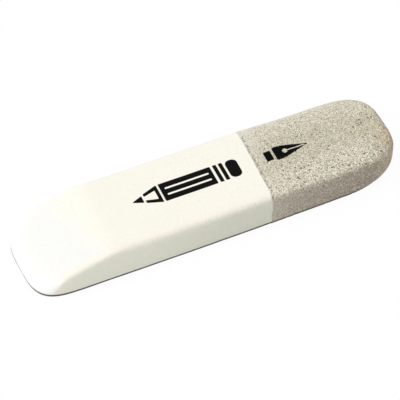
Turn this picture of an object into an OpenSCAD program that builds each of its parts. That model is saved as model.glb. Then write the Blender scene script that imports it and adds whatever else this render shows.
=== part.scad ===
// Rubber eraser of two halves bonded end to end. The white half is smooth and ends in a soft
// bevel. The grey half is gritty and ends in a blunt round nose.
// Millimetres. The origin is under the middle, on the underside. +X runs to the nose, +Z is up.

/* [Blocks] */
// Length of the white block, from its bevelled tip to the seam
white_len = 38.3; // [28:0.1:60]
// Length of the grey block, from the seam to the end of its nose
grey_len = 22.7; // [16:0.1:45]
// Width across the middle
body_w = 14.9; // [12:0.1:24]
// Thickness
body_h = 6.5; // [5:0.1:11]
// How far each long side draws in from the middle to the ends
side_bow = 0.3; // [0:0.05:0.9]

/* [Bevelled end] */
// Length of the bevel, from its tip to its crease
bevel_len = 12.4; // [9:0.1:20]
// Thickness left at the tip of the bevel
tip_h = 2.6; // [1.5:0.1:4]
// How far the bevel swells above a straight ramp
bevel_crown = 0.15; // [0:0.05:0.7]
// Half the length over which the crease is rounded
crease_soft = 1.1; // [0.5:0.1:2.5]
// Reach of the rounded corners, along the eraser
corner_len = 8.4; // [5:0.1:11]
// Squareness of the corners, where 2 is an ellipse and more is squarer
corner_power = 3.75; // [2:0.05:4.5]

/* [Round nose] */
// Length of the nose, from where the sides start to turn in
nose_len = 9.3; // [7:0.1:14]
// Squareness of the nose, where 2 is an ellipse and more is squarer
nose_power = 3.25; // [2:0.05:3.8]

/* [Edges] */
// Radius of the top edge of the white block, along its sides
white_edge_r = 1.1; // [0.5:0.1:2.2]
// Radius of the top edge along the sides of the bevel
bevel_edge_r = 0.6; // [0.3:0.1:1.6]
// Radius of the top edge at the tip of the bevel
tip_edge_r = 3; // [0.5:0.1:4]
// Length from the tip over which the tip's edge radius turns into that of the bevel's sides
tip_blend = 5.5; // [2:0.1:8]
// Radius of the top edge of the grey block, once clear of the seam
grey_edge_r = 1.5; // [0.5:0.1:2.6]
// Length past the seam over which the white block's edge radius turns into the grey block's
edge_blend = 8; // [1:0.5:12]
// Radius of the lower edge round the bevelled end and along the sides
foot_r = 0.5; // [0.2:0.1:1]
// Radius of the lower edge at the end of the nose
nose_foot_r = 3; // [0.5:0.1:3.4]

/* [Smoothness] */
// Points along each long side
side_steps = 46; // [24:1:60]
// Points from the middle of an end to a long side
end_steps = 18; // [10:1:26]
// Steps round the top edge
edge_steps = 9; // [4:1:12]

/* [Hidden] */
body_len = white_len + grey_len;
tip_x = -body_len / 2;
nose_x = body_len / 2;
seam_x = tip_x + white_len;
crease_x = tip_x + bevel_len;
// Steps round the lower edge
foot_steps = 6;
// Length past the crease over which the bevel's edge radius turns into the white block's
crease_blend = 4;
// Share of the thickness above the lower edge that the top edge may take, as at the thin tip
edge_share = 0.95;
// How far the raw form and the cutting boxes run past the faces that are cut flat
spare = 1;

// Half the width at a place along the eraser, before its ends are rounded
function half_w(x) = body_w / 2 - side_bow * pow(x / nose_x, 2);

// One point of a rounded end. The angle runs from 0 at the middle of the end to 90 at the side.
function end_point(angle, end_x, reach, power) =
    let (x = end_x - sign(end_x) * reach * (1 - pow(cos(angle), 2 / power)))
    [x, half_w(x) * pow(sin(angle), 2 / power)];

// Plan outline of the far side, from the middle of the tip to the middle of the nose
side_start = tip_x + corner_len;
side_end = nose_x - nose_len;
far_side = [
    for (i = [0 : end_steps]) end_point(90 * i / end_steps, tip_x, corner_len, corner_power),
    for (i = [1 : side_steps - 1])
        let (x = side_start + (side_end - side_start) * i / side_steps) [x, half_w(x)],
    for (i = [end_steps : -1 : 0]) end_point(90 * i / end_steps, nose_x, nose_len, nose_power)
];
half_count = len(far_side);

// The whole outline, clockwise from above, with the near side as a mirror of the far side
outline = concat(far_side, [for (i = [half_count - 2 : -1 : 1]) [far_side[i].x, -far_side[i].y]]);
count = len(outline);

// Direction out of the outline at one of its points
function outward(i) =
    let (run = outline[(i + 1) % count] - outline[(i + count - 1) % count])
    [-run.y, run.x] / norm(run);

// Distance into the bevel from its crease, with the crease rounded
function past_crease(x) =
    let (d = crease_x - x)
    d >= crease_soft ? d : d <= -crease_soft ? 0 : pow(d + crease_soft, 2) / (4 * crease_soft);

// Height of the top face at a place along the eraser
function top_z(x) =
    let (t = min(1, past_crease(x) / bevel_len))
    body_h - (body_h - tip_h) * t + 4 * bevel_crown * t * (1 - t);

// A value that turns smoothly from one to another along the eraser
function blend(from, to, x, start, reach) =
    let (t = min(1, max(0, (x - start) / reach)))
    from + (to - from) * t * t * (3 - 2 * t);

// The smaller of two values, with no kink where they pass each other
function soft_min(a, b) = pow(pow(a, -6) + pow(b, -6), -1 / 6);

// Radius of the lower edge at a place along the eraser
function low_r(x) = blend(foot_r, nose_foot_r, x, side_end, nose_len);

// Radius of the top edge at a place along the eraser, as far as the thickness allows it
function edge_r(x) =
    let (
        tip_change = blend(tip_edge_r - bevel_edge_r, 0, x, tip_x, tip_blend),
        white_change = blend(0, white_edge_r - bevel_edge_r, x, crease_x, crease_blend),
        grey_change = blend(0, grey_edge_r - white_edge_r, x, seam_x, edge_blend),
        wanted_r = bevel_edge_r + tip_change + white_change + grey_change
    )
    soft_min(wanted_r, (top_z(x) - low_r(x)) * edge_share);

// Ring of the lower edge, at an angle from 0 on the underside to 90 on the wall
function foot_ring(angle) = [
    for (i = [0 : count - 1])
        let (r = low_r(outline[i].x), p = outline[i] - outward(i) * r * (1 - sin(angle)))
        [p.x, p.y, r * (1 - cos(angle))]
];

// Ring of the top edge, at an angle from 0 on the wall to 90 on the top face
function edge_ring(angle) = [
    for (i = [0 : count - 1])
        let (r = edge_r(outline[i].x), p = outline[i] - outward(i) * r * (1 - cos(angle)))
        [p.x, p.y, top_z(p.x) - r * (1 - sin(angle))]
];

// The rings from below the underside to the rim of the top face
rings = [
    [for (p = foot_ring(0)) p - [0, 0, spare]],
    for (i = [0 : foot_steps]) foot_ring(90 * i / foot_steps),
    for (i = [0 : edge_steps]) edge_ring(90 * i / edge_steps)
];
top_rim = (len(rings) - 1) * count;

// Walls between neighbouring rings
walls = [
    for (k = [0 : len(rings) - 2], i = [0 : count - 1])
        let (a = k * count + i, b = k * count + (i + 1) % count)
        each [[a, b, b + count], [a, b + count, a + count]]
];

// Strips across the top face, between each stretch of the far rim and its mirror on the near rim
lid = [
    for (i = [0 : half_count - 2])
        let (a = top_rim + i, b = a + 1, c = top_rim + (count - i) % count, d = top_rim + count - i - 1)
        each i == 0 ? [[a, b, d]] : i == half_count - 2 ? [[a, b, c]] : [[a, b, d], [a, d, c]]
];

// Both blocks in one, and a little too deep below
module eraser_form() {
    polyhedron(
        points = [for (ring = rings) each ring],
        faces = concat(walls, lid, [[for (i = [count - 1 : -1 : 0]) i]])
    );
}

// The stretch of the form between two places along it, with its underside cut flat
module stretch(from_x, to_x) {
    intersection() {
        eraser_form();
        translate([from_x, -body_w, 0])
            cube([to_x - from_x, 2 * body_w, body_h + spare]);
    }
}

module white_pencil_block() {
    color("ivory")
        stretch(tip_x - spare, seam_x);
}

module grey_ink_block() {
    color("silver")
        stretch(seam_x, nose_x + spare);
}

white_pencil_block();
grey_ink_block();
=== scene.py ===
import functools
import math

import bpy
import numpy as np
from mathutils import Matrix, Vector, noise
from mathutils.bvhtree import BVHTree


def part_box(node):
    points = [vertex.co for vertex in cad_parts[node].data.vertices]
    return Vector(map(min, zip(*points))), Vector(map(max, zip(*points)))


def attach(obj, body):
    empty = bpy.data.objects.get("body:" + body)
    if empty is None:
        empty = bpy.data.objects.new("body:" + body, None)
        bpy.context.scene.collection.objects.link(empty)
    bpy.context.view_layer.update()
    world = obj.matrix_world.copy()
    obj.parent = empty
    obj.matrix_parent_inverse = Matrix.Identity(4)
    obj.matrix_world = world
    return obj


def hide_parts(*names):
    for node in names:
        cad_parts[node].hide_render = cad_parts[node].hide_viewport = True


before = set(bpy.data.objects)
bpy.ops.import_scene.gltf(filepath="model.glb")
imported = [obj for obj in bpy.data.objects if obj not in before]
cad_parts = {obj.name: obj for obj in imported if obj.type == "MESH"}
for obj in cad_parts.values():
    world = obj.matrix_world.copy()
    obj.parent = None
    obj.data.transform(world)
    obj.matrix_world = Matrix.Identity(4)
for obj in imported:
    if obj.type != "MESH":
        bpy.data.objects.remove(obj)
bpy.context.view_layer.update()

# Looks of a rubber eraser of two bonded halves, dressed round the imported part.
# The skins are built in metres, and MM turns a size in millimetres into metres.
# The relief, the print and the materials work in millimetres.
MM = 0.001

# The two halves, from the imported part
WHITE, GREY = "white_pencil_block", "grey_ink_block"
TIP_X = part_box(WHITE)[0].x
SEAM_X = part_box(WHITE)[1].x
NOSE_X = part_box(GREY)[1].x
TOP_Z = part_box(GREY)[1].z
HALF_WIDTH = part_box(WHITE)[1].y

# The same places in millimetres
TIP, SEAM, NOSE, HALF = (place / MM for place in (TIP_X, SEAM_X, NOSE_X, HALF_WIDTH))
BEVEL_CREASE = TIP + 12.4

# Spacing of the points of each half's skin
WHITE_STEP = 0.17 * MM
GREY_STEP = 0.115 * MM
# Height of the middle line, from which the skin's points are cast
AXIS_Z = 1.6 * MM
# How far the fanned loops of a rounded end reach back from its pole
END_REACH = 7.5 * MM
# Way over an end, from its last upright loop to its pole, as a share of END_REACH
END_WAY = 1.75
# Way round the eraser
GIRTH = 41 * MM
# How far inside its flat seam face a half's first loop is cast
HAIR = 0.002 * MM
# Rays that measure the way round a loop, and the way over an end
COARSE_LOOP = 360
COARSE_END = 72
SMOOTH_PASSES = 16

# The tip is a little out of square: its far corner reaches out and its near corner is drawn in
TIP_SKEW = 0.045
TIP_SKEW_REACH = 8.4 * MM
# The seam's far end lies nearer the nose, its foot lies nearer the tip, and it is a little ragged
SEAM_SKEW = 0.55 * MM
SEAM_LEAN = 0.22 * MM
SEAM_RAGGED = 0.08 * MM
SEAM_WAVE_SIZE = 2.6 * MM
# How far from the seam the skin still follows it, and what is too little to count
SEAM_REACH = 2.2 * MM
NEGLIGIBLE = 0.01
# The relief fades out this close to the seam, so that the halves meet
SEAM_FADE = 0.3 * MM

# Pits of the grey half, in millimetres: their spacing, their radius as a share of it, their depth
PIT_SPACING = 0.62
PIT_RADIUS = 0.28
PIT_DEPTH = 0.09

# Middle of each print on the top face
PENCIL_MIDDLE = (-3.2 * MM, 0.4 * MM)
NIB_MIDDLE = (13.5 * MM, 0.4 * MM)
# Half the width over which the ink's edge fades, in millimetres
INK_EDGE = 0.035
# Height of the dark line round the foot, in millimetres: painted contact shade, with some dirt that
# the eraser picks up
DIRT_AND_SHADE_TOP = 0.88

# Camera fitted to the photograph: its turn about the eraser, its rise, its distance and framing
CAMERA_TURN = math.radians(24.04)
CAMERA_RISE = math.radians(51.35)
CAMERA_DISTANCE = 270.6 * MM
CAMERA_SIDE = 0.915 * MM
CAMERA_LIFT = -1.0 * MM
FOCAL_PIXELS = 1756.6
FRAME_PIXELS = 400
SENSOR_MM = 36

# Light and floor
SKY_LEVEL = 0.67
SUN_LEVEL = 1.38
SUN_TOWARDS = (-0.92, 0.05, 1.0)
SUN_SOFTNESS = math.radians(35)
FLOOR_SIZE = 1.2
FLOOR_SHADOW_SHARE = 0.05
FLOOR_BOUNCE = 0.86


# The skins: loops of points over each half, from the seam to the pole of its free end

def skin_tree(node):
    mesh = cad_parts[node].data
    return BVHTree.FromPolygons([v.co for v in mesh.vertices], [p.vertices for p in mesh.polygons])


def cast(tree, x, direction):
    """Where a ray from the middle line at x meets the skin."""
    hit = tree.ray_cast(Vector((x, 0, AXIS_Z)), Vector(direction))[0]
    return np.array(hit)


def even_shares(points):
    """Shares of the way along a line of points, from 0 to 1."""
    run = np.linalg.norm(np.diff(points, axis=0), axis=1)
    way = np.concatenate([[0], np.cumsum(run)])
    return way / way[-1]


def loop(tree, x, angles):
    """Points of the skin round the middle line, at angles from straight up towards +Y."""
    return np.array([cast(tree, x, (0, math.sin(a), math.cos(a))) for a in angles])


def loop_angles(tree, x, count):
    """Angles round the middle line at which the points of a loop lie evenly apart."""
    angles = np.linspace(0, 2 * math.pi, COARSE_LOOP + 1)
    return np.interp(np.arange(count) / count, even_shares(loop(tree, x, angles)), angles)


def end_direction(side, angle, rise):
    """A direction over an end. The rise goes from 0 across the middle line to 90 degrees along it."""
    out = math.cos(rise)
    return side * math.sin(rise), out * math.sin(angle), out * math.cos(angle)


def end_loops(tree, x, side, angles, count):
    """Loops over the rounded end past x, and its pole. Side is -1 or 1 along X."""
    rises = np.linspace(0, math.pi / 2, COARSE_END + 1)
    lines = []
    for angle in angles:
        coarse = np.array([cast(tree, x, end_direction(side, angle, r)) for r in rises])
        wanted = np.interp(np.arange(1, count) / count, even_shares(coarse), rises)
        lines.append([cast(tree, x, end_direction(side, angle, r)) for r in wanted])
    return np.array(lines).transpose(1, 0, 2), cast(tree, x, (side, 0, 0))


def block_grid(node, side, step):
    """Loops of a half from the seam to its free end, evenly spread over its skin, and the pole."""
    tree = skin_tree(node)
    last_x = (TIP_X if side < 0 else NOSE_X) - side * END_REACH
    stations = np.linspace(SEAM_X + side * HAIR, last_x, int(abs(last_x - SEAM_X) / step) + 1)
    count = int(GIRTH / step)
    loops = []
    for x in stations:
        angles = loop_angles(tree, x, count)
        loops.append(loop(tree, x, angles))
    ends, pole = end_loops(tree, last_x, side, angles, int(END_WAY * END_REACH / step))
    grid = np.concatenate([np.array(loops), ends])
    grid[0, :, 0] = SEAM_X
    return grid, pole


def smoothed(grid, pole):
    """Evens out the flats of the part's facets. The seam loop keeps its place along X."""
    for _ in range(SMOOTH_PASSES):
        padded = np.concatenate([grid[:1], grid, np.broadcast_to(pole, grid[:1].shape)])
        around = (np.roll(grid, 1, axis=1) + np.roll(grid, -1, axis=1)) / 2
        along = (padded[:-2] + padded[2:]) / 2
        along[0] = around[0]
        grid = grid * 0.5 + (around + along) * 0.25
        grid[0, :, 0] = SEAM_X
        grid[:, :, 2] = np.maximum(grid[:, :, 2], 0)
    return grid


def make_mesh(name, grid, pole, side):
    """A closed mesh of a half: its loops, a point at the free end and a cap over the seam."""
    rows, count = grid.shape[:2]
    vertices = np.concatenate([grid.reshape(-1, 3), [pole, grid[0].mean(axis=0)]])
    pole_at, centre_at = rows * count, rows * count + 1
    i, j = np.meshgrid(np.arange(rows - 1), np.arange(count), indexing="ij")
    a = (i * count + j).ravel()
    b = (i * count + (j + 1) % count).ravel()
    quads = np.stack([a, b, b + count, a + count], axis=1).tolist()
    last = (rows - 1) * count
    around = [(k, (k + 1) % count) for k in range(count)]
    ends = [(last + k, last + n, pole_at) for k, n in around]
    caps = [(n, k, centre_at) for k, n in around]
    faces = quads + ends + caps
    if side > 0:
        faces = [face[::-1] for face in faces]
    mesh = bpy.data.meshes.new(name)
    mesh.from_pydata(vertices.tolist(), [], faces)
    mesh.update()
    return mesh


def vertex_rows(mesh, key):
    """A row for each vertex, with its place for "co" or its direction for "normal"."""
    flat = np.zeros(len(mesh.vertices) * 3)
    mesh.vertices.foreach_get(key, flat)
    return flat.reshape(-1, 3)


def store_values(mesh, name, values):
    """Keeps a value at each vertex, for the material."""
    attribute = mesh.attributes.new(name, "FLOAT", "POINT")
    attribute.data.foreach_set("value", np.array(values, dtype=np.float32))


# The relief: how far the skin stands out at a place, both in millimetres

def white_relief(place):
    """The smooth half: slow waves and a faint chalky unevenness."""
    slow = noise.fractal(place / 7 + Vector((3, 1, 8)), 0.8, 2, 2)
    fine = noise.fractal(place / 0.55, 0.7, 2, 2)
    return 0.03 * slow - 0.03 + 0.0035 * fine


def grey_relief(place):
    """The gritty half: slow waves, grit and pits."""
    slow = noise.fractal(place / 5 + Vector((9, 2, 4)), 0.8, 2, 2)
    grit = noise.fractal(place / 0.3, 0.5, 2.2, 3)
    return 0.03 * slow - 0.05 + 0.032 * grit - PIT_DEPTH * pit_share(place) ** 0.7


def pit_share(place):
    """How deep in a pit a place is, from 0 to 1. More pits lie close to the seam."""
    distances, centres = noise.voronoi(place / PIT_SPACING)
    past_seam = place.x - SEAM
    chance = 0.3 + 0.5 * math.exp(-((past_seam / 0.6) ** 2)) + 0.15 * math.exp(-past_seam / 3)
    # The factor spreads the pits over many cells, so that each is picked on its own
    kept = 0.5 + 0.5 * noise.cell(centres[0] * 37.0) < chance
    return max(0.0, 1 - distances[0] / PIT_RADIUS) if kept else 0.0


def ease(share):
    share = np.clip(share, 0, 1)
    return share * share * (3 - 2 * share)


def seam_shift(y, z):
    """How far the seam lies from its flat joint at a place on it, in metres along X."""
    skew = SEAM_SKEW * max(0.0, 0.5 + 0.5 * y / HALF_WIDTH) ** 0.8
    lean = SEAM_LEAN * (z / TOP_Z - 1)
    place = Vector((0.3, y / SEAM_WAVE_SIZE, z / SEAM_WAVE_SIZE))
    ragged = noise.fractal(place, 0.6, 2.1, 3) + 0.5 * noise.noise(place * 7)
    return skew + lean + SEAM_RAGGED * ragged


def wander(points):
    """How far each point moves along X, for the skewed tip and for the seam. Both halves agree."""
    into_tip = (TIP_X + TIP_SKEW_REACH - points[:, 0]) / TIP_SKEW_REACH
    shifts = -TIP_SKEW * points[:, 1] * ease(into_tip)
    for i, (x, y, z) in enumerate(points):
        near = math.exp(-(((x - SEAM_X) / SEAM_REACH) ** 2))
        if near > NEGLIGIBLE:
            shifts[i] += near * seam_shift(y, z)
    return shifts


def roughen(mesh, relief):
    """Moves each point along its normal by the relief, then along X where the skin wanders."""
    points = vertex_rows(mesh, "co")
    offsets = np.array([relief(Vector(p / MM)) for p in points]) * MM
    fade = np.clip(np.abs(points[:, 0] - SEAM_X) / SEAM_FADE, 0, 1)
    points += vertex_rows(mesh, "normal") * (offsets * fade)[:, None]
    points[:, 0] += wander(points)
    points[:, 2] = np.maximum(points[:, 2], 0)
    mesh.vertices.foreach_set("co", points.ravel())
    mesh.update()


# The print: signed distances to simple shapes, in millimetres, negative inside

def box_shape(u, v, low, high, rounding=0.0):
    centre_u, centre_v = (low[0] + high[0]) / 2, (low[1] + high[1]) / 2
    du = np.abs(u - centre_u) - ((high[0] - low[0]) / 2 - rounding)
    dv = np.abs(v - centre_v) - ((high[1] - low[1]) / 2 - rounding)
    outside = np.hypot(np.maximum(du, 0), np.maximum(dv, 0))
    return outside + np.minimum(np.maximum(du, dv), 0) - rounding


def disc_shape(u, v, centre, radius):
    return np.hypot(u - centre[0], v - centre[1]) - radius


def wedge_shape(u, v, tip_u, base_u, base_half):
    """A pointed shape with straight sides, from its point at tip_u to its base at base_u."""
    reach = base_u - tip_u
    slant = math.hypot(reach, base_half)
    along = (u - tip_u) * np.sign(reach)
    sides = (np.abs(v) * abs(reach) - along * base_half) / slant
    return np.maximum(np.maximum(sides, along - abs(reach)), -along)


def join(*shapes):
    return np.minimum.reduce(shapes)


def cut(shape, *holes):
    return np.maximum.reduce([shape, *[-hole for hole in holes]])


def pencil_print(u, v):
    """A pencil lying along U with its point at the low end, about 17.5 mm by 3.5 mm."""
    half = 1.75
    lead = wedge_shape(u, v, -8.8, -7.0, 0.7)
    cone = cut(wedge_shape(u, v, -9.3, -4.2, half), wedge_shape(u, v, -8.0, -4.75, 0.85))
    cone = np.maximum(cone, -(u + 6.7))
    barrel = box_shape(u, v, (-3.9, -half), (4.7, half))
    slots = [box_shape(u, v, (-3.2, y - 0.16), (4.1, y + 0.16), 0.15) for y in (-0.6, 0.6)]
    ferrule = [box_shape(u, v, (x, -half), (x + 0.62, half)) for x in (5.1, 6.05)]
    stub = box_shape(u, v, (7.0, -half), (8.8, half), 0.8)
    return join(lead, cone, cut(barrel, *slots), *ferrule, stub)


def nib_print(u, v):
    """A pen nib lying along U with its point at the high end, about 7 mm by 2.6 mm."""
    half = 1.3
    point = wedge_shape(u, v, 3.9, -0.6, half)
    shoulder = box_shape(u, v, (-1.9, -half), (-0.6, half), 0.3)
    hole = disc_shape(u, v, (-0.1, 0), 0.4)
    slit = box_shape(u, v, (-0.1, -0.1), (3.2, 0.1))
    collar = box_shape(u, v, (-3.6, -0.95), (-2.3, 0.95), 0.2)
    return join(cut(join(point, shoulder), hole, slit), collar)


def store_print(mesh, middle, shape):
    """Keeps each point's distance to the print, in millimetres. Only the top face carries it."""
    points = vertex_rows(mesh, "co")
    u = (points[:, 0] - middle[0]) / MM
    v = (points[:, 1] - middle[1]) / MM
    on_top = points[:, 2] > TOP_Z - 0.5 * MM
    far = 5.0
    store_values(mesh, "print_distance", np.where(on_top, shape(u, v), far))


# Materials: a base colour, with coats laid over it by shares from 0 to 1

def srgb(red, green, blue):
    """A colour written as it looks, from 0 to 255, as the linear colour that a shader takes."""
    def linear(value):
        share = value / 255
        return share / 12.92 if share <= 0.04045 else ((share + 0.055) / 1.055) ** 2.4
    return (linear(red), linear(green), linear(blue), 1.0)


class Graph:
    """A material's nodes under short names. Places and sizes are in millimetres."""

    def __init__(self, name):
        self.material = bpy.data.materials.new(name)
        self.material.use_nodes = True
        self.tree = self.material.node_tree
        self.surface = self.tree.nodes["Principled BSDF"]
        self.place = self.scaled_place()
        parts = self.node("ShaderNodeSeparateXYZ")
        self.plug(self.place, parts.inputs[0])
        self.x, self.y, self.z = parts.outputs
        # How much the skin faces up: 1 on the top face, 0 on a wall
        self.rise = self.attribute("rise")
        self.base = None

    def node(self, kind, **settings):
        made = self.tree.nodes.new(kind)
        for key, value in settings.items():
            setattr(made, key, value)
        return made

    def plug(self, value, socket):
        if isinstance(value, bpy.types.NodeSocket):
            self.tree.links.new(value, socket)
        else:
            socket.default_value = value

    def scaled_place(self):
        coordinates = self.node("ShaderNodeTexCoord")
        scaled = self.node("ShaderNodeVectorMath", operation="SCALE")
        scaled.inputs["Scale"].default_value = 1 / MM
        self.plug(coordinates.outputs["Object"], scaled.inputs[0])
        return scaled.outputs[0]

    def attribute(self, name):
        return self.node("ShaderNodeAttribute", attribute_name=name).outputs["Fac"]

    def math(self, operation, a, b=0.0):
        made = self.node("ShaderNodeMath", operation=operation)
        self.plug(a, made.inputs[0])
        self.plug(b, made.inputs[1])
        return made.outputs[0]

    def plus(self, *values):
        return functools.reduce(functools.partial(self.math, "ADD"), values)

    def times(self, *values):
        return functools.reduce(functools.partial(self.math, "MULTIPLY"), values)

    def span(self, value, low, high, to_low=0.0, to_high=1.0):
        """A smooth change from to_low to to_high as the value goes from low to high."""
        made = self.node("ShaderNodeMapRange", interpolation_type="SMOOTHSTEP")
        for socket, v in zip(made.inputs, (value, low, high, to_low, to_high)):
            self.plug(v, socket)
        return made.outputs[0]

    def mix(self, share, a, b):
        made = self.node("ShaderNodeMix", data_type="RGBA")
        self.plug(share, made.inputs[0])
        self.plug(a, made.inputs[6])
        self.plug(b, made.inputs[7])
        return made.outputs[2]

    def coat(self, share, colour):
        """Lays a colour over the base."""
        self.base = self.mix(share, self.base, colour)

    def noise(self, size, detail=2.0, roughness=0.5, shift=0.0, place=None):
        """Noise from 0 to 1 whose features are about size across."""
        made = self.node("ShaderNodeTexNoise", noise_dimensions="4D")
        self.plug(place or self.place, made.inputs["Vector"])
        made.inputs["W"].default_value = shift
        made.inputs["Scale"].default_value = 1 / size
        made.inputs["Detail"].default_value = detail
        made.inputs["Roughness"].default_value = roughness
        return made.outputs["Fac"]

    def streaks(self, size, length):
        """Noise drawn out along Z, size across and length times as tall."""
        squeezed = self.node("ShaderNodeVectorMath", operation="MULTIPLY")
        self.plug(self.place, squeezed.inputs[0])
        squeezed.inputs[1].default_value = (1, 1, 1 / length)
        return self.noise(size, place=squeezed.outputs[0])

    def cells(self, size):
        """Cells about size across: the distance from a cell's middle, and its random values."""
        made = self.node("ShaderNodeTexVoronoi")
        self.plug(self.place, made.inputs["Vector"])
        made.inputs["Scale"].default_value = 1 / size
        parts = self.node("ShaderNodeSeparateColor")
        self.plug(made.outputs["Color"], parts.inputs[0])
        return made.outputs["Distance"], parts.outputs

    def dots(self, spacing, radius, share):
        """1 inside small round dots, which only a share of the cells of that spacing hold."""
        distance, picks = self.cells(spacing)
        reach = radius / spacing
        inside = self.span(distance, 0.6 * reach, 1.4 * reach, 1, 0)
        return self.times(inside, self.math("LESS_THAN", picks[1], share))

    def away(self, x, y):
        """Distance from the upright line at x, y."""
        flat = self.node("ShaderNodeVectorMath", operation="MULTIPLY")
        self.plug(self.place, flat.inputs[0])
        flat.inputs[1].default_value = (1, 1, 0)
        apart = self.node("ShaderNodeVectorMath", operation="DISTANCE")
        self.plug(flat.outputs[0], apart.inputs[0])
        apart.inputs[1].default_value = (x, y, 0)
        return apart.outputs["Value"]

    def finish(self, roughness, specular):
        """Sets the base colour and the gloss on the shader."""
        self.plug(self.base, self.surface.inputs["Base Color"])
        self.surface.inputs["Roughness"].default_value = roughness
        self.surface.inputs["Specular IOR Level"].default_value = specular

    def bump(self, height, depth):
        """Bump from a height of 0 to 1 that stands for depth metres."""
        made = self.node("ShaderNodeBump")
        made.inputs["Strength"].default_value = 1
        made.inputs["Distance"].default_value = depth
        self.plug(height, made.inputs["Height"])
        self.plug(made.outputs[0], self.surface.inputs["Normal"])


def add_rim(graph, width, strength, colour):
    """The far top edge, washed out by the light behind it."""
    far = graph.span(graph.y, HALF - width, HALF, 0, strength)
    graph.coat(graph.times(far, graph.span(graph.rise, 0.3, 0.7)), colour)


def add_dirt_and_contact_shade(graph, strength, colour):
    """A dark line round the foot, painted contact shade with some dirt, taller but fainter round the
    tip towards its far corner.
    """
    slant = graph.plus(graph.x, graph.times(graph.y, -0.6))
    tallness = graph.times(graph.span(slant, TIP - 3.5, TIP + 1, 1.18, 1.0),
                           graph.span(graph.y, 2.5, 5.5, 1, 1.2))
    height = graph.math("DIVIDE", graph.z, tallness)
    height = graph.plus(height, graph.times(graph.noise(0.5, 3, shift=4), 0.1))
    line = graph.span(height, DIRT_AND_SHADE_TOP - 0.1, DIRT_AND_SHADE_TOP + 0.14, 1, 0)
    off_underside = graph.span(graph.rise, -0.97, -0.8)
    fainter = graph.span(slant, TIP + 1, TIP + 8, 0.75 * strength, strength)
    graph.coat(graph.times(line, off_underside, fainter), colour)


def add_ink(graph, ragged, cover):
    """The print. Ragged is how far its edge strays, and cover is how much ink is left."""
    stray = graph.times(graph.plus(graph.noise(0.25), -0.5), 2 * ragged)
    distance = graph.plus(graph.attribute("print_distance"), stray)
    inside = graph.span(distance, -INK_EDGE, INK_EDGE, 1, 0)
    graph.coat(graph.times(inside, cover), srgb(6, 5, 5))


# The white half's material

def white_top(graph):
    """Cream, cooler and whiter on the bevel, warmer along the near edge."""
    graph.base = graph.mix(graph.span(graph.noise(6, 3), 0.35, 0.65),
                           srgb(253, 250, 237), srgb(254, 250, 238))
    skewed = graph.plus(graph.x, graph.times(graph.y, 0.3))
    bevel = graph.span(skewed, BEVEL_CREASE - 6, BEVEL_CREASE + 0.5, 1, 0)
    graph.coat(bevel, srgb(246, 246, 243))
    near_edge = graph.span(graph.y, -6.9, -5.6, 0.9, 0)
    graph.coat(near_edge, srgb(253, 246, 232))


def white_walls_with_painted_shade(graph, chalk):
    """Greener walls, darker than the top as painted shade, darker still towards the seam and lighter
    near the tip as painted light, with upright streaks and a chalky upper border.
    """
    # The wall colour is painted shade: darker than the top, and darker still towards the seam
    side = graph.mix(graph.span(graph.x, TIP + 12, SEAM), srgb(243, 243, 229), srgb(222, 223, 208))
    # Painted light near the tip, where the walls turn towards the light
    painted_lit_near_tip = graph.span(graph.x, TIP + 3, TIP + 8, 1, 0)
    side = graph.mix(painted_lit_near_tip, side, srgb(253, 243, 231))
    streaks = graph.span(graph.streaks(0.5, 8), 0.3, 0.7, 0, 0.25)
    side = graph.mix(streaks, side, srgb(238, 238, 223))
    speckle = graph.span(graph.noise(0.12, 2, 0.7, shift=6), 0.4, 0.6, 0, 0.4)
    side = graph.mix(speckle, side, srgb(210, 211, 196))
    ragged_rise = graph.plus(graph.rise, graph.times(graph.plus(chalk, -0.5), 1.6))
    graph.coat(graph.span(ragged_rise, 0.45, 0.86, 1, 0), side)


def white_painted_lit_tip_and_turn(graph, chalk):
    """A lighter tip, painted light on the walls round it, and a chalky turn from the top into the
    walls.
    """
    # Painted light: the walls round the tip take the bevel's white, as if lit like it
    corner = graph.plus(graph.x, graph.times(graph.z, -0.74))
    tip = graph.times(graph.span(corner, TIP + 1.6, TIP + 2.3, 1, 0),
                      graph.span(graph.rise, 0.6, 0.9, 1, 0))
    graph.coat(tip, srgb(255, 254, 251))
    turn = graph.times(graph.span(graph.rise, 0.3, 0.6), graph.span(graph.rise, 0.85, 0.98, 1, 0),
                       graph.span(graph.x, TIP + 4, TIP + 9), graph.span(chalk, 0.5, 0.6, 0, 0.5))
    graph.coat(turn, srgb(222, 218, 203))


def white_marks(graph):
    """Faint blotches and specks all over."""
    blotches = graph.span(graph.noise(0.4, 3), 0.4, 0.75, 0, 0.15)
    graph.coat(blotches, srgb(241, 237, 222))
    specks = graph.span(graph.noise(0.2, 1, shift=9), 0.74, 0.8, 0, 0.2)
    graph.coat(specks, srgb(222, 216, 200))


def white_material():
    """Smooth cream-white rubber with a chalky skin."""
    graph = Graph("white_rubber")
    chalk = graph.noise(0.22, 1, 0.6, shift=5)
    white_top(graph)
    white_walls_with_painted_shade(graph, chalk)
    white_painted_lit_tip_and_turn(graph, chalk)
    white_marks(graph)
    add_rim(graph, 1.6, 0.7, srgb(255, 254, 249))
    # The dark line round the foot: painted contact shade, with some dirt
    add_dirt_and_contact_shade(graph, 0.95, srgb(58, 52, 44))
    add_ink(graph, 0.012, 1.0)
    graph.finish(roughness=0.7, specular=0.08)
    graph.surface.inputs["Subsurface Weight"].default_value = 0.08
    graph.surface.inputs["Subsurface Radius"].default_value = (1.0, 0.8, 0.55)
    graph.surface.inputs["Subsurface Scale"].default_value = 0.5 * MM
    graph.bump(graph.noise(0.16, 3, 0.6), 0.012 * MM)
    return graph.material


# The grey half's material

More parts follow.
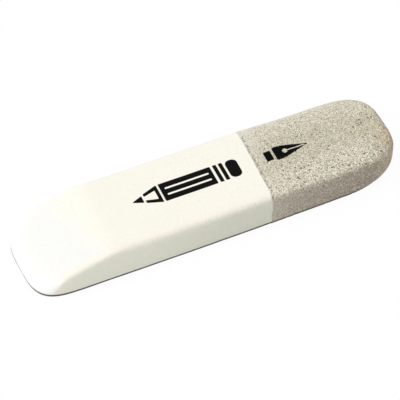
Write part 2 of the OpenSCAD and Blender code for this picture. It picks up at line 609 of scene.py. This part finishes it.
def grey_top(graph):
    """Beige-grey, lighter off the middle, browner near the nose and paler at its far corner."""
    graph.base = graph.mix(graph.span(graph.noise(2.6, 3), 0.35, 0.65),
                           srgb(206, 200, 172), srgb(212, 206, 181))
    off_middle = graph.math("ABSOLUTE", graph.plus(graph.y, -0.3))
    graph.coat(graph.span(off_middle, 1.5, 4.5), srgb(226, 219, 196))
    browner = graph.times(graph.span(graph.x, NOSE - 9, NOSE - 3, 0, 0.4),
                          graph.span(graph.y, -4.5, -2, 1, 0))
    graph.coat(browner, srgb(186, 176, 152))
    far_corner = graph.span(graph.away(NOSE - 2, 4.6), 1, 4, 0.4, 0)
    graph.coat(far_corner, srgb(244, 240, 226))


def grey_walls_and_painted_shade(graph, wall):
    """Browner, darker walls, partly the rubber's own colour and partly painted shade, darker towards
    the nose and lighter again round it.
    """
    # The wall colour is partly painted shade, like the white half's walls
    side = graph.mix(graph.span(graph.x, SEAM, NOSE - 4), srgb(180, 170, 153), srgb(158, 146, 129))
    side = graph.mix(graph.span(graph.x, NOSE - 6, NOSE - 3), side, srgb(182, 167, 145))
    graph.coat(wall, side)


def grey_grains(graph, tone, wall, end):
    """Light and dark grains and specks, stronger in the near part of the top and at the nose, and
    light grains on the turn into the walls as painted highlight.
    """
    nearer = graph.span(graph.y, -4.5, -1, 0.92, 0.7)
    on_top = graph.times(graph.span(wall, 0, 1, 1, 0.5), nearer)
    strong = graph.math("MAXIMUM", on_top, graph.times(end, 0.75))
    light = graph.times(graph.span(tone, 0.5, 0.85), strong)
    graph.coat(light, srgb(253, 249, 236))
    dark = graph.times(graph.span(tone, 0.05, 0.42, 0.95, 0), strong)
    graph.coat(dark, srgb(126, 117, 94))
    # Painted highlight: light grains along the turn, where the edge's grains catch the light
    turn = graph.times(graph.span(graph.rise, 0.25, 0.6), graph.span(graph.rise, 0.85, 0.99, 1, 0))
    painted_glint_grains = graph.times(turn, graph.span(tone, 0.5, 0.7, 0, 0.15))
    graph.coat(painted_glint_grains, srgb(244, 239, 225))
    specks = graph.times(graph.span(graph.noise(0.11, 2, 0.7, shift=3), 0.6, 0.7, 0, 0.6), strong)
    graph.coat(specks, srgb(120, 110, 89))


def grey_dots(graph):
    """Small dark dots, fewer to be seen in the far part and on the walls."""
    seen = graph.times(graph.span(graph.y, -1, 4, 0.85, 0.3),
                       graph.span(graph.rise, 0.2, 0.8, 0.2, 1))
    graph.coat(graph.times(seen, graph.dots(0.42, 0.1, 0.11)), srgb(80, 70, 54))


def grey_stain(graph, end):
    """An ochre stain, strongest at the near part of the nose."""
    stain = graph.plus(graph.span(graph.away(NOSE - 1.1, -3.8), 0.8, 3.2, 0.5, 0),
                       graph.times(end, 0.15))
    patches = graph.span(graph.noise(0.2, 3, 0.7, shift=2), 0.42, 0.56, 0.1, 1)
    graph.coat(graph.times(stain, patches), srgb(188, 154, 112))


def grey_pits(graph):
    """Dark floors of the pits as painted shade, paler rubber by the seam, and the small pits of the
    seam itself.
    """
    # Painted shade: the pit floors are darkened where the pits would hold shade
    seen = graph.times(graph.span(graph.y, 0, 5, 1, 0.6), graph.span(graph.rise, 0.2, 0.8, 0.3, 1))
    painted_shade_pit_floors = graph.times(seen, graph.span(graph.attribute("pit"), 0.05, 0.35, 0, 0.88))
    graph.coat(painted_shade_pit_floors, srgb(72, 62, 47))
    past_seam = graph.attribute("past_seam")
    paler = graph.times(graph.span(past_seam, 0.5, 4, 0.5, 0), graph.span(graph.y, -3, 3, 0.3, 1))
    graph.coat(paler, srgb(240, 236, 222))
    joint = graph.times(graph.span(past_seam, 0.3, 0.65, 0.72, 0), graph.span(graph.rise, 0.3, 0.6))
    graph.coat(graph.times(joint, graph.dots(0.34, 0.13, 0.62)), srgb(76, 66, 50))


def grey_material():
    """Gritty beige-grey rubber with light and dark grains and pits."""
    graph = Graph("grey_gritty_rubber")
    # Each grain has a random tone of its own
    grain_picks = graph.cells(0.115)[1]
    tone = grain_picks[0]
    wall = graph.span(graph.rise, 0.38, 0.97, 1, 0)
    end = graph.span(graph.x, NOSE - 6, NOSE - 1)
    grey_top(graph)
    grey_walls_and_painted_shade(graph, wall)
    grey_grains(graph, tone, wall, end)
    grey_dots(graph)
    grey_stain(graph, end)
    grey_pits(graph)
    add_rim(graph, 2.4, 0.6, srgb(248, 245, 234))
    # The dark line round the foot: painted contact shade, with some dirt
    add_dirt_and_contact_shade(graph, 0.9, srgb(124, 114, 101))
    add_ink(graph, 0.03, graph.span(graph.noise(0.3, shift=7), 0.25, 0.32))
    graph.finish(roughness=0.85, specular=0.08)
    graph.bump(graph.plus(graph.noise(0.11, 3, 0.7), graph.times(tone, 0.9)), 0.05 * MM)
    return graph.material


# The two pieces, the camera, the light and the floor

def link(thing):
    bpy.context.scene.collection.objects.link(thing)
    return thing


def make_skin(name, node, side, step):
    """The even skin of a half, which knows how much it faces up."""
    grid, pole = block_grid(node, side, step)
    mesh = make_mesh(name, smoothed(grid, pole), pole, side)
    store_values(mesh, "rise", vertex_rows(mesh, "normal")[:, 2])
    return mesh


def make_piece(name, mesh, material, node):
    """The piece that stands for a packed half."""
    mesh.shade_smooth()
    mesh.materials.append(material)
    piece = link(bpy.data.objects.new(name, mesh))
    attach(piece, "root")
    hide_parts(node)


def make_white_block():
    name = "white_rubber_block"
    mesh = make_skin(name, WHITE, -1, WHITE_STEP)
    store_print(mesh, PENCIL_MIDDLE, pencil_print)
    roughen(mesh, white_relief)
    make_piece(name, mesh, white_material(), WHITE)


def make_grey_block():
    name = "grey_rubber_block"
    mesh = make_skin(name, GREY, 1, GREY_STEP)
    store_print(mesh, NIB_MIDDLE, nib_print)
    points = vertex_rows(mesh, "co") / MM
    store_values(mesh, "pit", [pit_share(Vector(p)) for p in points])
    store_values(mesh, "past_seam", points[:, 0] - SEAM)
    roughen(mesh, grey_relief)
    make_piece(name, mesh, grey_material(), GREY)


def make_camera():
    """The camera of the photograph, aimed in the part's own frame."""
    turn, rise = CAMERA_TURN, CAMERA_RISE
    right = Vector((math.cos(turn), -math.sin(turn), 0))
    up = Vector((math.sin(turn) * math.sin(rise), math.cos(turn) * math.sin(rise), math.cos(rise)))
    back = right.cross(up)
    data = bpy.data.cameras.new("camera")
    data.sensor_width = SENSOR_MM
    data.lens = SENSOR_MM * FOCAL_PIXELS / FRAME_PIXELS
    data.clip_start = 0.01
    camera = link(bpy.data.objects.new("camera", data))
    place = back * CAMERA_DISTANCE - right * CAMERA_SIDE - up * CAMERA_LIFT
    axes = Matrix((right, up, back)).transposed()
    camera.matrix_world = Matrix.Translation(place) @ axes.to_4x4()
    bpy.context.scene.camera = camera


def make_sun():
    """A large soft lamp above the tip, at the left of the picture, as the photograph is lit."""
    data = bpy.data.lights.new("key", "SUN")
    data.energy = SUN_LEVEL
    data.angle = SUN_SOFTNESS
    lamp = link(bpy.data.objects.new("key", data))
    lamp.rotation_euler = Vector(SUN_TOWARDS).to_track_quat("Z", "Y").to_euler()


def seen_ray(tree):
    """1 for the rays that show the background: camera, glossy and transmission rays."""
    path = tree.nodes.new("ShaderNodeLightPath")
    total = path.outputs["Is Camera Ray"]
    for name in ("Is Glossy Ray", "Is Transmission Ray"):
        larger = tree.nodes.new("ShaderNodeMath")
        larger.operation = "MAXIMUM"
        tree.links.new(total, larger.inputs[0])
        tree.links.new(path.outputs[name], larger.inputs[1])
        total = larger.outputs[0]
    return total


def make_world():
    """An even sky, which shows as white."""
    world = bpy.data.worlds.new("studio")
    world.use_nodes = True
    bpy.context.scene.world = world
    tree = world.node_tree
    background = tree.nodes["Background"]
    background.inputs["Color"].default_value = (1, 1, 1, 1)
    strength = tree.nodes.new("ShaderNodeMapRange")
    strength.inputs["To Min"].default_value = SKY_LEVEL
    strength.inputs["To Max"].default_value = 1.0
    tree.links.new(seen_ray(tree), strength.inputs["Value"])
    tree.links.new(strength.outputs[0], background.inputs["Strength"])


def diffuse(tree, level):
    made = tree.nodes.new("ShaderNodeBsdfDiffuse")
    made.inputs["Color"].default_value = (level, level, level, 1)
    return made.outputs[0]


def mixed(tree, share, first, second):
    """One shader into another. The share is a number or another node's output."""
    made = tree.nodes.new("ShaderNodeMixShader")
    if isinstance(share, bpy.types.NodeSocket):
        tree.links.new(share, made.inputs["Fac"])
    else:
        made.inputs["Fac"].default_value = share
    tree.links.new(first, made.inputs[1])
    tree.links.new(second, made.inputs[2])
    return made.outputs[0]


def floor_material():
    """Glowing white with a share of the shadow where it is seen, and plain diffuse for the light."""
    material = bpy.data.materials.new("floor_white")
    material.use_nodes = True
    tree = material.node_tree
    tree.nodes.clear()
    output = tree.nodes.new("ShaderNodeOutputMaterial")
    glow = tree.nodes.new("ShaderNodeEmission")
    glow.inputs["Strength"].default_value = 1.0
    shown = mixed(tree, FLOOR_SHADOW_SHARE, glow.outputs[0], diffuse(tree, 1))
    either = mixed(tree, seen_ray(tree), diffuse(tree, FLOOR_BOUNCE), shown)
    tree.links.new(either, output.inputs["Surface"])
    return material


def make_floor():
    """A white floor that keeps the eraser's shadow."""
    mesh = bpy.data.meshes.new("floor")
    half = FLOOR_SIZE / 2
    corners = [(-half, -half, 0), (half, -half, 0), (half, half, 0), (-half, half, 0)]
    mesh.from_pydata(corners, [], [(0, 1, 2, 3)])
    mesh.materials.append(floor_material())
    floor = link(bpy.data.objects.new("floor", mesh))


make_white_block()
make_grey_block()
make_camera()
make_sun()
make_world()
make_floor()
bpy.context.scene.view_settings.view_transform = "Standard"
